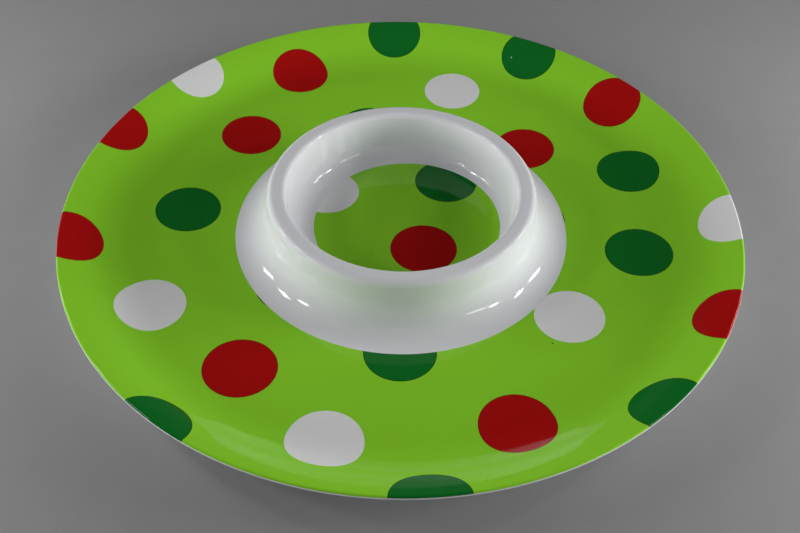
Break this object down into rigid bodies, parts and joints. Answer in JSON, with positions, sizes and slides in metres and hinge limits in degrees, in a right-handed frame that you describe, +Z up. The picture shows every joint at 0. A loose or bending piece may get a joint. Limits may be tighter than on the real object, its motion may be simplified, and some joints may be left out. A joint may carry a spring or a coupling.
{
  "type": "chip and dip server",
  "caption": "Round melamine plate with an upturned rim and a raised dip ring in the middle, printed with polka dots.",
  "frame": {"origin": "centre of the plate, on the surface that it stands on", "axes": "+Z up along the plate's axis; -Y towards the person who serves"},
  "size_m": [0.33, 0.33, 0.0317],
  "materials": {
    "white_melamine": "glossy moulded white melamine",
    "floor_film": "glossy printed film, light green with red, dark green and white dots",
    "well_film": "glossy printed film, light green with red, dark green and white dots"
  },
  "bodies": {
    "root": {"melamine_body": "white_melamine", "floor_print": "floor_film", "well_print": "well_film"}
  },
  "joints": []
}
